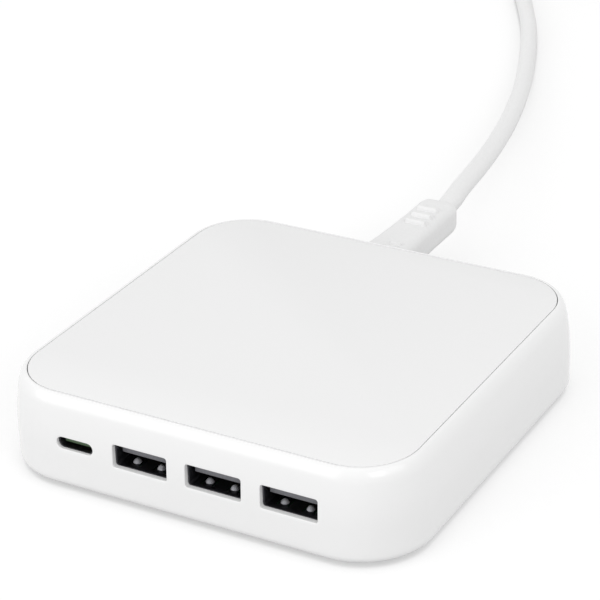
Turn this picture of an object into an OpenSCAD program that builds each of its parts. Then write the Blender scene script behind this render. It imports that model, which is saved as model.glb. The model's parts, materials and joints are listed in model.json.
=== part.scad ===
// Desktop fast charger: three USB-A ports, one USB-C port and a figure-8 mains lead.
// Millimetres, +Z up. The origin is the middle of the footprint, on the surface that
// the rubber feet stand on. The ports face -Y and the mains inlet faces +Y.

/* [Housing] */
// Width of the body, left to right
body_w = 98.4; // [96:0.2:120]
// Depth of the body, front to back
body_d = 98.4; // [96:0.2:120]
// Height of the moulded shell
shell_h = 21; // [21:0.5:28]
// Corner radius seen from above
corner_r = 16; // [12:0.5:18]
// Thickness of the side walls
wall = 2.3; // [1.8:0.1:2.6]
// Thickness of the floor
floor_t = 2; // [1.6:0.1:2.2]
// How far the upper wall leans in
wall_bow = 1.6; // [0:0.1:1.8]
// Height at which the wall starts to lean
bow_start = 8; // [5:0.5:10]
// Width and height of the rounding at the rim
rim_round = [1.1, 1.5];
// Width and height of the rounding at the base
base_round = [1.3, 1.8];

/* [Cover plate] */
// Distance from the body's outline to the seam
cover_inset = 3; // [2.9:0.1:4]
// Thickness of the cover plate
cover_t = 1.8; // [1.4:0.1:2.2]
// Gap between the plate and the rim
seam_gap = 0.2; // [0.1:0.05:0.3]
// Width of the ledge that the plate lies on
ledge_w = 1.6; // [1.2:0.1:2]
// Thickness of that ledge
ledge_t = 1.6; // [1.2:0.1:2]
// Depth of the locating rib under the plate
rib_depth = 2.6; // [2.4:0.1:3]
// Thickness of the locating rib
rib_t = 1.2; // [1:0.1:1.6]

/* [Feet] */
// Diameter of a rubber foot
foot_d = 10.8; // [8:0.2:14]
// How far a foot stands out of the floor
foot_gap = 1.2; // [0.8:0.1:2]
// Depth of the recess that a foot is glued into
foot_recess = 0.8; // [0.5:0.1:1]
// Distance from the body's outline to a foot's centre
foot_inset = 13; // [10:0.5:20]

/* [Ports] */
// Height of the port centres above the surface
port_z = 12; // [11.6:0.1:14]
// Centre of the leftmost USB-A port
usb_a_x = -10.6; // [-12:0.1:-9.6]
// Distance between neighbouring USB-A ports
usb_a_pitch = 17.7; // [15:0.1:18.4]
// Mouth of a USB-A port in the wall, width
usb_a_mouth_w = 13.2; // [12.6:0.1:14]
// Mouth of a USB-A port in the wall, height
usb_a_mouth_h = 5.3; // [5.2:0.1:5.7]
// Centre of the USB-C port
usb_c_x = -26.7; // [-27.5:0.1:-25]
// Height of the USB-C port's centre
usb_c_z = 11.8; // [11.6:0.1:12.4]
// Mouth of the USB-C port, width
usb_c_mouth_w = 9; // [8.5:0.1:10]
// Mouth of the USB-C port, height
usb_c_mouth_h = 2.7; // [2.6:0.1:3.2]
// Thickness of wall left in front of a USB-A receptacle
usb_a_lip = 1.2; // [1:0.1:1.6]
// Thickness of wall left in front of the USB-C receptacle
usb_c_lip = 0.8; // [0.8:0.1:1.2]

/* [Mains inlet] */
// Centre of the inlet, left to right
inlet_x = -8.4; // [-12:0.2:-4]
// Height of the inlet's centre
inlet_z = 11.7; // [11.7:0.1:12.5]
// Distance between the two pins
inlet_pin_pitch = 8.6; // [8.4:0.1:8.8]
// Diameter of a pin
inlet_pin_d = 2.36; // [2.2:0.02:2.6]
// Free length of a pin
inlet_pin_len = 10; // [9:0.2:10.4]
// Length of the moulded grip of the lead's connector
grip_len = 39; // [37:0.5:39]

/* [Boards] */
// Thickness of the circuit boards
board_t = 1.6; // [1.2:0.1:1.8]
// Clearance between the floor and the main board
board_gap = 1.2; // [1:0.1:1.6]
// Depth of the port board, front to back
port_board_d = 24.6; // [23:0.2:26]
// Width of the port board
port_board_w = 66; // [64:0.5:70]
// Diameter of a board screw's shank
screw_d = 2.1; // [1.8:0.1:2.3]

/* [Hidden] */
$fn = 48;
EPS = 0.01;

// Heights worked out from the driving sizes
shell_z = foot_gap;
floor_z = shell_z + floor_t;
top_z = shell_z + shell_h;
seat_z = top_z - cover_t;
ledge_z = seat_z - ledge_t;
board_z = floor_z + board_gap;
deck_z = board_z + board_t;
ledge_in = wall + ledge_w;

// USB-A receptacle, after the connector's own standard
usb_a_shell = [13.1, 14, 5.72];
usb_a_metal = 0.3;
tongue_w = 11.1;
tongue_t = 1.84;
tongue_back = 1.2;
tongue_drop = 0.06;
dimple_pitch = 6;
dimple_back = 2.7;
dimple_r = 1;
dimple_sink = 0.4;
mouth_r = 0.6;
pocket_play = 0.1;

// USB-C receptacle, after the connector's own standard
usb_c_shell = [8.94, 7.4, 3.16];
usb_c_metal = 0.3;
usb_c_tongue = [6.69, 4.8, 0.7];
front_play = 0.1;

// Circuit boards
port_deck_z = port_z - usb_a_shell[2] / 2;
port_board_z = port_deck_z - board_t;
wall_play = 0.3;
front_in = -body_d / 2 + wall;
port_board_y = front_in + wall_play;
port_board_back = port_board_y + port_board_d;
header_w = 20;
header_y = port_board_back - 2;
header_pins = 8;
header_pitch = 2.54;
header_pin = 0.6;
main_board_w = body_w - 2 * wall - 5;
main_board_back = body_d / 2 - wall - 1;
main_board_front = header_y - 2.4;
main_board_r = 11;

// Places on the main board, measured from its edges so that they follow the body's size
left_edge = -main_board_w / 2;
right_edge = main_board_w / 2;
fuse_at = [inlet_x + 14, main_board_back - 6];
x_cap_at = [inlet_x + 16, main_board_back - 18.5];
bridge_at = [inlet_x - 7.5, main_board_back - 22.8];
choke_at = [left_edge + 13.6, main_board_back - 12.5];
sink_at = [left_edge + 5.4, -6];
core_at = [-7.5, 6];
bulk_r = 5.6;
BULK_X = [right_edge - 21.8, right_edge - 10.2];
bulk_y = -6;
inductor_w = 10;
INDUCTOR_X = [right_edge - 29.4, right_edge - 17.9];
inductor_y = main_board_front + 5;
out_cap_r = 3.8;
out_cap_pitch = 9;
out_cap_at = [-23, main_board_front + 10];

// Board screws and the bosses that they are driven into
boss_d = 5;
screw_play = 0.05;
screw_head = [4.4, 1.4];
MAIN_BOSSES = [[main_board_w / 2 - 4.4, main_board_front + 8],
    [main_board_w / 2 - 3.2, main_board_back - 14]];
port_boss_x = port_board_w / 2 - 3;
port_boss_y = port_board_back - 6.6;

// Figure-8 inlet and the lead's connector
lobe_r = 4.25;
lobe_x = 4;
waist_h = 6.8;
inlet_wall = 1.35;
inlet_play = 0.15;
recess_depth = 11.9;
inlet_back_t = 2.5;
nose_play = 0.2;
nose_len = 11.4;
shoulder_gap = 0.2;
sleeve_play = 0.05;
sleeve_t = 0.5;
shoulder_y = body_d / 2 + shoulder_gap;

// Cord, laid on the surface that the charger stands on
cord_r = 2.6;
layer_step = 2 * cord_r;
coil_c = [-59.2, 332.6];
coil_mid_r = 28.75;
coil_half = 10.85;
coil_in_angle = 210;
coil_out_angle = 90;
stub_len = 24;
// Points of the stretch from the connector to the coil, on the cord's own middle line
RUN = [[-8.4, 88.6, 11.7], [-9, 95, 11.8], [-11.3, 107, 11], [-13.7, 120, 9.7],
    [-16.8, 135, 8.1], [-19.8, 148, 6.9], [-23.3, 162, 5.7], [-27.4, 176.5, 4.7],
    [-32.1, 191.5, 3.8], [-37.2, 206, 3.1], [-42.6, 220, 2.7], [-48, 233.4, 2.6],
    [-53.6, 246, 2.6], [-59.7, 258, 2.6], [-66.2, 270, 2.6], [-72.8, 282, 2.6],
    [-79.1, 293.2, 2.6]];
RUN_END = [-sin(30), cos(30), 0];
// Points of the stretch from the coil to the mains plug
TAIL = [[-35.2, 369.6, 7.8], [-26.5, 368.8, 6.7], [-18.1, 366.5, 5], [-10.2, 362.8, 3.5],
    [-3.1, 357.8, 2.8], [3.1, 351.6, 3.1], [8.1, 344.5, 4.8], [11.8, 336.6, 6.4],
    [14.5, 329.1, 6.85]];
plug_turn = 20;
TAIL_END = [sin(plug_turn), -cos(plug_turn), 0];
plug_at = TAIL[len(TAIL) - 1];
plug_pin_r = 2;
plug_pin_len = 19;
plug_pin_pitch = 18.6;

// Rounded square or rectangle, with true arcs at its corners
module rounded_rect(w, d, r) {
    square([w - 2 * r, d], center = true);
    square([w, d - 2 * r], center = true);
    for (sx = [-1, 1], sy = [-1, 1])
        translate([sx * (w / 2 - r), sy * (d / 2 - r)]) circle(r);
}

// Slot with half-round ends
module slot(w, h) {
    square([w - h, h], center = true);
    for (s = [-1, 1]) translate([s * (w - h) / 2, 0]) circle(h / 2);
}

// Two round lobes joined by a waist
module figure_8(r, x, waist) {
    square([2 * x, waist], center = true);
    for (s = [-1, 1]) translate([s * x, 0]) circle(r);
}

// Sets an outline drawn in XY upright and pushes it along +Y
module along_y(y, len) {
    translate([0, y + len, 0]) rotate([90, 0, 0]) linear_extrude(len) children();
}

// Inset of the shell's outer face at a height above its base
function lean(z) = z < bow_start ? 0 : wall_bow * pow((z - bow_start) / (shell_h - bow_start), 2);
function quarter(t) = 1 - sqrt(max(0, 1 - t * t));
function shell_inset(z) = lean(z)
    + rim_round[0] * quarter(max(0, 1 - (shell_h - z) / rim_round[1]))
    + base_round[0] * quarter(max(0, 1 - z / base_round[1]));

// Heights at which the outer face changes its slope
bow_top = shell_h - rim_round[1];
SHELL_LEVELS = concat(
    [for (a = [0 : 30 : 90]) base_round[1] * (1 - cos(a))],
    [for (k = [0 : 3]) bow_start + k * (bow_top - bow_start) / 4],
    [for (a = [0 : 18 : 90]) bow_top + rim_round[1] * sin(a)]);

// One closed profile, from the corner's axis out to the bowed face
SHELL_PROFILE = concat([[0, 0]],
    [for (z = SHELL_LEVELS) [corner_r - shell_inset(z), z]],
    [[0, shell_h]]);

// Solid block with the bowed face: four turned corners, four straight sides and a core
module bowed_block() {
    half = [body_w / 2 - corner_r, body_d / 2 - corner_r];
    translate([0, 0, shell_z]) {
        translate([-half[0], -half[1], 0]) cube([2 * half[0], 2 * half[1], shell_h]);
        for (k = [0 : 3]) rotate([0, 0, 90 * k]) {
            along = half[k % 2];
            out = half[(k + 1) % 2];
            translate([along, out, 0]) rotate_extrude(angle = 90) polygon(SHELL_PROFILE);
            translate([-along, out, 0]) rotate([90, 0, 90]) linear_extrude(2 * along)
                polygon(SHELL_PROFILE);
        }
    }
}

module inlet_place() { translate([inlet_x, 0, inlet_z]) children(); }

module main_screw_places() {
    for (sx = [-1, 1], p = MAIN_BOSSES) translate([sx * p[0], p[1], 0]) children();
}

module port_screw_places() {
    for (sx = [-1, 1]) translate([sx * port_boss_x, port_boss_y, 0]) children();
}

module foot_places() {
    for (sx = [-1, 1], sy = [-1, 1])
        translate([sx * (body_w / 2 - foot_inset), sy * (body_d / 2 - foot_inset), 0]) children();
}

module housing() {
    color("white") difference() {
        union() {
            difference() {
                bowed_block();
                translate([0, 0, floor_z]) linear_extrude(ledge_z - floor_z)
                    rounded_rect(body_w - 2 * wall, body_d - 2 * wall, corner_r - wall);
                translate([0, 0, floor_z + EPS]) linear_extrude(shell_h)
                    rounded_rect(body_w - 2 * ledge_in, body_d - 2 * ledge_in, corner_r - ledge_in);
                translate([0, 0, seat_z]) linear_extrude(cover_t + 1)
                    rounded_rect(body_w - 2 * cover_inset, body_d - 2 * cover_inset,
                        corner_r - cover_inset);
            }
            main_screw_places() translate([0, 0, floor_z - 0.5]) cylinder(d = boss_d, h = board_gap + 0.5);
            port_screw_places() translate([0, 0, floor_z - 0.5])
                cylinder(d = boss_d, h = port_board_z - floor_z + 0.5);
        }
        main_screw_places() translate([0, 0, floor_z - 1]) cylinder(d = screw_d + 2 * screw_play, h = 20);
        port_screw_places() translate([0, 0, floor_z - 1]) cylinder(d = screw_d + 2 * screw_play, h = 20);
        foot_places() translate([0, 0, shell_z - 1]) cylinder(d = foot_d + 0.2, h = 1 + foot_recess);
        for (i = [0 : 2]) translate([usb_a_x + i * usb_a_pitch, 0, port_z]) {
            along_y(-body_d / 2 - 1, wall + 1) rounded_rect(usb_a_mouth_w, usb_a_mouth_h, mouth_r);
            along_y(-body_d / 2 + usb_a_lip, wall)
                rounded_rect(usb_a_shell[0] + 2 * pocket_play, usb_a_shell[2] + 2 * pocket_play, 0.9);
        }
        translate([usb_c_x, 0, usb_c_z]) {
            along_y(-body_d / 2 - 1, wall + 1) slot(usb_c_mouth_w, usb_c_mouth_h);
            along_y(-body_d / 2 + usb_c_lip, wall)
                slot(usb_c_shell[0] + 2 * pocket_play, usb_c_shell[2] + 2 * pocket_play);
        }
        inlet_place() along_y(body_d / 2 - wall - 1, wall + 2)
            slot(2 * (lobe_x + lobe_r + inlet_wall + inlet_play), 2 * (lobe_r + inlet_wall + inlet_play));
    }
}

// Cover plate with its locating rib and eight snap barbs that catch under the ledge
module top_cover() {
    rib_in = ledge_in + seam_gap;
    barb = [8, 0.8, rib_depth - ledge_t - 0.15];
    color([0.93, 0.93, 0.93]) {
        translate([0, 0, seat_z]) linear_extrude(cover_t)
            rounded_rect(body_w - 2 * (cover_inset + seam_gap), body_d - 2 * (cover_inset + seam_gap),
                corner_r - cover_inset - seam_gap);
        translate([0, 0, seat_z - rib_depth]) {
            difference() {
                linear_extrude(rib_depth + EPS)
                    rounded_rect(body_w - 2 * rib_in, body_d - 2 * rib_in, corner_r - rib_in);
                translate([0, 0, -1]) linear_extrude(rib_depth + 1)
                    rounded_rect(body_w - 2 * (rib_in + rib_t), body_d - 2 * (rib_in + rib_t),
                        corner_r - rib_in - rib_t);
            }
            for (k = [0 : 3], s = [-1, 1]) rotate([0, 0, 90 * k]) {
                out = (k % 2 == 0 ? body_d : body_w) / 2 - rib_in;
                translate([s * 20 - barb[0] / 2, out - EPS, 0]) cube(barb);
            }
        }
    }
}

module rubber_feet() {
    h = foot_gap + foot_recess;
    r = foot_d / 2;
    color([0.75, 0.75, 0.75]) foot_places() rotate_extrude()
        polygon([[0, 0], [r - 0.5, 0], [r, 0.5], [r, h], [0, h]]);
}

module header_places() {
    for (k = [0 : header_pins - 1])
        translate([(k - (header_pins - 1) / 2) * header_pitch, header_y, 0]) children();
}

module main_board() {
    mid = (main_board_back + main_board_front) / 2;
    color("darkgreen") difference() {
        translate([0, mid, board_z]) linear_extrude(board_t)
            rounded_rect(main_board_w, main_board_back - main_board_front, main_board_r);
        main_screw_places() translate([0, 0, board_z - 1]) cylinder(d = screw_d + 0.6, h = board_t + 2);
        header_places() translate([0, 0, board_z - 1]) cylinder(r = 0.5, h = board_t + 2);
        port_screw_places() translate([0, 0, board_z - 1]) cylinder(d = boss_d + 1, h = board_t + 2);
    }
}

module port_board() {
    color("darkgreen") difference() {
        translate([-port_board_w / 2, port_board_y, port_board_z]) cube([port_board_w, port_board_d, board_t]);
        port_screw_places() translate([0, 0, port_board_z - 1]) cylinder(d = screw_d + 0.6, h = board_t + 2);
        header_places() translate([0, 0, port_board_z - 1]) cylinder(r = 0.5, h = board_t + 2);
    }
}

// Small board that lifts the USB-C receptacle to its height
module riser_board() {
    h = usb_c_z - usb_c_shell[2] / 2 - port_deck_z;
    color("darkgreen") translate([usb_c_x - 5.6, port_board_y + 0.5, port_deck_z]) cube([11.2, 11, h]);
}

module board_header() {
    gap = port_board_z - deck_z;
    color("black") difference() {
        translate([-header_w / 2 - 0.6, header_y - 1.2, deck_z]) cube([header_w + 1.2, 2.4, gap]);
        header_places() translate([0, 0, deck_z - 1]) cylinder(r = 0.5, h = gap + 2);
    }
    color("gold") header_places() translate([-header_pin / 2, -header_pin / 2, board_z - 0.6])
        cube([header_pin, header_pin, port_deck_z - board_z + 1.8]);
}

module board_screw(z, depth) {
    translate([0, 0, z]) {
        difference() {
            cylinder(d = screw_head[0], h = screw_head[1]);
            translate([0, 0, screw_head[1] - 0.7]) {
                translate([-1.3, -0.25, 0]) cube([2.6, 0.5, 1]);
                translate([-0.25, -1.3, 0]) cube([0.5, 2.6, 1]);
            }
        }
        translate([0, 0, -depth]) cylinder(d = screw_d, h = depth + EPS);
    }
}

module board_screws() {
    color("silver") {
        main_screw_places() board_screw(deck_z, board_t + board_gap + 0.8);
        port_screw_places() board_screw(port_deck_z, board_t + 4);
    }
}

// A receptacle's place, with its front just behind the lip of its mouth
usb_a_front = -body_d / 2 + usb_a_lip + front_play;
module usb_a_place(i) { translate([usb_a_x + i * usb_a_pitch, usb_a_front, port_z]) children(); }

// Drawn-steel shell of a USB-A receptacle, with its four spring fingers
module usb_a_shell(i) {
    w = usb_a_shell[0];
    d = usb_a_shell[1];
    h = usb_a_shell[2];
    m = usb_a_metal;
    slit = [0.3, 6, 2 * m];
    color([0.35, 0.35, 0.37]) usb_a_place(i) {
        difference() {
            along_y(0, d) rounded_rect(w, h, 0.8);
            along_y(-1, d + 2) rounded_rect(w - 2 * m, h - 2 * m, 0.5);
            for (sx = [-1, 1], sz = [-1, 1]) translate([sx * dimple_pitch / 2, 0, sz * (h - m) / 2])
                for (s = [-1, 1]) translate([s * 1.3 - slit[0] / 2, dimple_back - 1.4, -m]) cube(slit);
        }
        for (sx = [-1, 1], sz = [-1, 1])
            translate([sx * dimple_pitch / 2, dimple_back, sz * (h / 2 - m)]) intersection() {
                translate([0, 0, sz * dimple_sink]) sphere(r = dimple_r);
                translate([-1, -1, sz > 0 ? -1 : -m / 2]) cube([2, 2, 1 + m / 2]);
            }
    }
}

// Moulded insulator: a block that closes the shell's back, and the tongue
module usb_a_insulator(i) {
    w = usb_a_shell[0] - 2 * usb_a_metal;
    h = usb_a_shell[2] - 2 * usb_a_metal;
    block_d = 3.4;
    color([0.2, 0.2, 0.2]) usb_a_place(i) {
        along_y(usb_a_shell[1] - block_d, block_d) rounded_rect(w - 0.02, h - 0.02, 0.48);
        translate([-tongue_w / 2, tongue_back, tongue_drop])
            cube([tongue_w, usb_a_shell[1] - tongue_back - block_d + EPS, tongue_t]);
    }
}

// Four spring strips on the underside of each tongue
module usb_a_contacts() {
    strip = [1, 7.6, 0.15];
    strip_x = [-3.5, -1, 1, 3.5];
    color("gold") for (i = [0 : 2], x = strip_x) usb_a_place(i)
        translate([x - strip[0] / 2, tongue_back + 0.6, tongue_drop - strip[2]]) cube(strip);
}

module usb_c_place() {
    translate([usb_c_x, -body_d / 2 + usb_c_lip + front_play, usb_c_z]) children();
}

module usb_c_shell() {
    w = usb_c_shell[0];
    h = usb_c_shell[2];
    color([0.35, 0.35, 0.37]) usb_c_place() difference() {
        along_y(0, usb_c_shell[1]) slot(w, h);
        along_y(-1, usb_c_shell[1] + 2) slot(w - 2 * usb_c_metal, h - 2 * usb_c_metal);
    }
}

module usb_c_tongue() {
    back = usb_c_shell[1];
    color([0.1, 0.2, 0.15]) usb_c_place() {
        along_y(back - 1.8, 1.8) slot(usb_c_shell[0] - 2 * usb_c_metal - 0.02,
            usb_c_shell[2] - 2 * usb_c_metal - 0.02);
        translate([-usb_c_tongue[0] / 2, back - 1.8 - usb_c_tongue[1], -usb_c_tongue[2] / 2])
            cube([usb_c_tongue[0], usb_c_tongue[1] + EPS, usb_c_tongue[2]]);
    }
}

// Twelve strips on each face of the tongue
module usb_c_contacts() {
    strip = [0.25, 3.4, 0.1];
    color("gold") usb_c_place() for (k = [0 : 11], s = [0, 1])
        translate([(k - 5.5) * 0.5 - strip[0] / 2, usb_c_shell[1] - 1.8 - 4.2,
            s == 0 ? usb_c_tongue[2] / 2 : -usb_c_tongue[2] / 2 - strip[2]]) cube(strip);
}

// Figure-8 inlet: a deep recess with two pins standing in it
module inlet_body() {
    depth = recess_depth + inlet_back_t;
    color([0.2, 0.2, 0.2]) inlet_place() difference() {
        along_y(body_d / 2 - depth, depth)
            slot(2 * (lobe_x + lobe_r + inlet_wall), 2 * (lobe_r + inlet_wall));
        along_y(body_d / 2 - recess_depth, recess_depth + 1) figure_8(lobe_r, lobe_x, waist_h);
        for (s = [-1, 1]) translate([s * inlet_pin_pitch / 2, 0, 0])
            along_y(body_d / 2 - depth - 1, depth) circle(d = inlet_pin_d + 0.02);
    }
}

module inlet_pins() {
    depth = recess_depth + inlet_back_t;
    color("silver") inlet_place() for (s = [-1, 1]) translate([s * inlet_pin_pitch / 2, 0, 0])
        along_y(body_d / 2 - depth - 1.2, inlet_back_t + 1.2 + inlet_pin_len) circle(d = inlet_pin_d);
}

// Ceramic fuse with pressed end caps, lying on the main board
module fuse() {
    cap_r = 2.6;
    cap_len = 4;
    len = 16;
    color("ivory") translate([fuse_at[0], fuse_at[1], deck_z + cap_r]) rotate([0, 90, 0]) {
        cylinder(r = cap_r - 0.3, h = len);
        for (x = [-0.5, len + 0.5 - cap_len]) translate([0, 0, x]) cylinder(r = cap_r, h = cap_len);
    }
}

module x_capacitor() {
    x_cap = [18, 7, 11.5];
    color("gold") translate([x_cap_at[0], x_cap_at[1], deck_z]) cube(x_cap);
}

module y_capacitor() {
    r = 4;
    color("royalblue") translate([core_right + core_gap, core_at[1], deck_z + r]) rotate([0, 90, 0])
        cylinder(r = r, h = 3.4);
}

// Inner radius, outer radius and height of the ring
choke_ring = [3.6, 6.4, 6];

// Ferrite ring of the common-mode choke
module choke_core() {
    color([0.25, 0.25, 0.25]) translate([choke_at[0], choke_at[1], deck_z + 1.2]) difference() {
        cylinder(r = choke_ring[1], h = choke_ring[2]);
        translate([0, 0, -1]) cylinder(r = choke_ring[0], h = choke_ring[2] + 2);
    }
}

// Two windings, each a thick wrap round part of the ring
module choke_winding() {
    t = 1.2;
    color("sienna") translate([choke_at[0], choke_at[1], deck_z]) for (a = [15, 195])
        rotate([0, 0, a]) rotate_extrude(angle = 150) difference() {
            translate([choke_ring[0] - t, 0]) square([choke_ring[1] - choke_ring[0] + 2 * t,
                choke_ring[2] + 2 * t]);
            translate([choke_ring[0] - 0.02, t - 0.02])
                square([choke_ring[1] - choke_ring[0] + 0.04, choke_ring[2] + 0.04]);
        }
}

module bridge_rectifier() {
    bridge = [15, 4, 11];
    color([0.15, 0.15, 0.15]) translate([bridge_at[0], bridge_at[1], deck_z]) cube(bridge);
}

// Two electrolytic capacitors, laid on their sides
module bulk_capacitors() {
    r = bulk_r;
    len = 26;
    groove = 0.8;
    color([0.2, 0.2, 0.25]) for (x = BULK_X) translate([x, bulk_y, deck_z + r]) rotate([-90, 0, 0]) {
        cylinder(r = r, h = len - 2 * groove);
        translate([0, 0, len - 2 * groove - EPS]) cylinder(r = r - groove, h = groove);
        translate([0, 0, len - groove - 2 * EPS]) cylinder(r = r, h = groove);
    }
}

// Flyback transformer: sizes of the core's legs and windows
core_size = [26, 24, 12.2];
core_right = core_at[0] + core_size[0] / 2;
core_gap = 1.1;
core_z = deck_z + 1.2;
leg_w = 8;
leg_h = 6.4;
core_back = 4;
window_w = 5;
window_d = core_size[1] - 2 * core_back;
tube_t = 0.7;
flange_t = 1;

module core_place() {
    translate([core_at[0], core_at[1], core_z + core_size[2] / 2]) children();
}

module transformer_core() {
    side_w = (core_size[0] - leg_w) / 2 - window_w;
    color([0.28, 0.28, 0.3]) core_place() {
        for (s = [-1, 1]) {
            translate([-core_size[0] / 2, s > 0 ? window_d / 2 : -core_size[1] / 2, -core_size[2] / 2])
                cube([core_size[0], core_back, core_size[2]]);
            translate([s > 0 ? core_size[0] / 2 - side_w : -core_size[0] / 2, -window_d / 2 - EPS,
                -core_size[2] / 2]) cube([side_w, window_d + 2 * EPS, core_size[2]]);
        }
        translate([-leg_w / 2, -window_d / 2 - EPS, -leg_h / 2]) cube([leg_w, window_d + 2 * EPS, leg_h]);
    }
}

// Bobbin: a tube round the middle leg, two flanges and two rails with the pins
module transformer_bobbin() {
    play = 0.1;
    rail = [core_size[0] - 4, core_back - 0.6, core_z - deck_z];
    color([0.1, 0.1, 0.1]) core_place() {
        difference() {
            union() {
                cube([leg_w + 2 * (tube_t + play), window_d - 0.2, leg_h + 2 * (tube_t + play)], center = true);
                for (s = [-1, 1]) translate([0, s * (window_d / 2 - 0.1 - flange_t / 2), 0])
                    cube([leg_w + 2 * window_w - 0.4, flange_t, core_size[2] - 0.2], center = true);
            }
            cube([leg_w + 2 * play, window_d + 2, leg_h + 2 * play], center = true);
        }
        for (s = [-1, 1]) {
            y = s > 0 ? window_d / 2 + 0.3 : -core_size[1] / 2 + 0.3;
            translate([-rail[0] / 2, y, -core_size[2] / 2 - rail[2]]) cube(rail);
        }
    }
}

module transformer_winding() {
    play = 0.1;
    fit = 0.02;
    tube_w = leg_w + 2 * (tube_t + play) + 2 * fit;
    tube_h = leg_h + 2 * (tube_t + play) + 2 * fit;
    len = window_d - 0.2 - 2 * flange_t - 2 * fit;
    color("khaki") core_place() difference() {
        cube([leg_w + 2 * window_w - 0.8, len, core_size[2] - 0.6], center = true);
        cube([tube_w, len + 2, tube_h], center = true);
    }
}

// Bent aluminium plate on the main board, and the two transistors against it
sink_len = 24;
sink_t = 1.6;
sink_h = 11;
sink_top_w = 7;
// Size of a transistor's package, and how far along the plate each one sits
transistor = [4.4, 9.6];
TRANSISTOR_Y = [1.8, 12.6];

module heat_sink() {
    color("silver") translate([sink_at[0], sink_at[1], deck_z]) {
        cube([sink_t, sink_len, sink_h]);
        translate([0, 0, sink_h - sink_t]) cube([sink_top_w, sink_len, sink_t]);
        for (y = [2, sink_len - 4]) translate([-2, y, 0]) cube([2 + EPS, 2, 1]);
    }
}

module switching_transistors() {
    color([0.12, 0.12, 0.12]) for (y = TRANSISTOR_Y)
        translate([sink_at[0] + sink_t, sink_at[1] + y, deck_z])
            cube([transistor[0], transistor[1], sink_h - sink_t - 0.2]);
}

module output_capacitors() {
    color([0.7, 0.7, 0.75]) for (k = [0 : 3])
        translate([out_cap_at[0] + out_cap_pitch * k, out_cap_at[1], deck_z]) {
            cylinder(r = out_cap_r, h = 0.8);
            cylinder(r = out_cap_r - 0.3, h = 8.4);
        }
}

module output_inductors() {
    half = inductor_w / 2;
    color([0.4, 0.4, 0.4]) for (x = INDUCTOR_X) translate([x + half, inductor_y + half, deck_z])
        linear_extrude(4.5) rounded_rect(inductor_w, inductor_w, 2);
}

// Packages on both boards: one beside the transformer, three behind the ports
module controller_chips() {
    main_chip = [5, 6, 1.6];
    port_chip = [5, 5, 0.9];
    chip_y = header_y - 7.4;
    color([0.1, 0.1, 0.1]) {
        translate([core_right + core_gap, core_at[1] - main_chip[1] - 5, deck_z]) cube(main_chip);
        for (k = [0 : 2])
            translate([usb_a_x + k * usb_a_pitch - port_chip[0] / 2, chip_y, port_deck_z]) cube(port_chip);
    }
}

// Outline of a rounded rectangle as points, for the lofted mouldings
LOFT_STEPS = 5;
function rounded_ring(w, h, r) = [for (q = [0 : 3], k = [0 : LOFT_STEPS])
    let (a = 90 * q + 90 * k / LOFT_STEPS, sx = (q == 0 || q == 3) ? 1 : -1, sz = q < 2 ? 1 : -1)
    [sx * (w - r) + r * cos(a), sz * (h - r) + r * sin(a)]];

// Closed skin over rings of points that each run clockwise, seen from the first ring's outside
module skin(rings) {
    n = len(rings[0]);
    m = len(rings);
    sides = [for (i = [0 : m - 2], k = [0 : n - 1]) let (j = (k + 1) % n)
        each [[i * n + k, (i + 1) * n + k, (i + 1) * n + j], [i * n + k, (i + 1) * n + j, i * n + j]]];
    near = [for (k = [0 : n - 1]) k];
    far = [for (k = [n - 1 : -1 : 0]) (m - 1) * n + k];
    polyhedron([for (ring = rings) each ring], concat(sides, [near, far]));
}

// Moulding through stations [distance along Y, half width, half height, corner radius]
module loft(stations) {
    skin([for (s = stations) [for (p = rounded_ring(s[1], s[2], s[3])) [-p[0], s[0], p[1]]]]);
}

// Grip of the lead's connector, from the shoulder at the charger to the cord
GRIP = [[0, 8.6, 5, 2.6], [3.6, 8.6, 5, 2.6], [8.5, 5.9, 4.5, 2.5], [12.6, 5.5, 4.4, 2.5],
    [20, 5.2, 4.3, 2.5], [27.4, 5.1, 4.2, 2.5], [grip_len - 2.4, 5.1, 4.2, 2.5],
    [grip_len - 0.8, 4.9, 4, 2.4], [grip_len, 4.3, 3.4, 2.2]];
rib_r = 0.7;
rib_len = 3.4;
rib_z = 4.05;
RIB_Y = [24.2, 28.1, 32.1];

// Moulded connector of the lead: the nose that fills the inlet, the grip and its ribs
module lead_connector() {
    bore_r = inlet_pin_d / 2 + sleeve_play + sleeve_t;
    color("whitesmoke") inlet_place() {
        translate([0, shoulder_y, 0]) loft(GRIP);
        difference() {
            along_y(shoulder_y - nose_len, nose_len + EPS)
                figure_8(lobe_r - nose_play, lobe_x, waist_h - 2 * nose_play);
            for (s = [-1, 1]) translate([s * inlet_pin_pitch / 2, 0, 0])
                along_y(shoulder_y - nose_len - 1, inlet_pin_len + 1.4) circle(r = bore_r + 0.01);
        }
        for (y = RIB_Y, s = [-1, 1]) translate([0, shoulder_y + y, s * rib_z]) rotate([0, 90, 0])
            rotate_extrude() intersection() {
                rotate([0, 0, 90]) slot(rib_len + 2 * rib_r, 2 * rib_r);
                translate([0, -rib_len]) square([rib_len, 2 * rib_len]);
            }
    }
}

// Spring sleeves in the nose, round the inlet's pins
module connector_contacts() {
    r = inlet_pin_d / 2 + sleeve_play;
    color("gold") inlet_place() for (s = [-1, 1]) translate([s * inlet_pin_pitch / 2, 0, 0])
        along_y(shoulder_y - nose_len + 0.6, 9.6) difference() {
            circle(r = r + sleeve_t);
            circle(r = r);
        }
}

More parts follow.
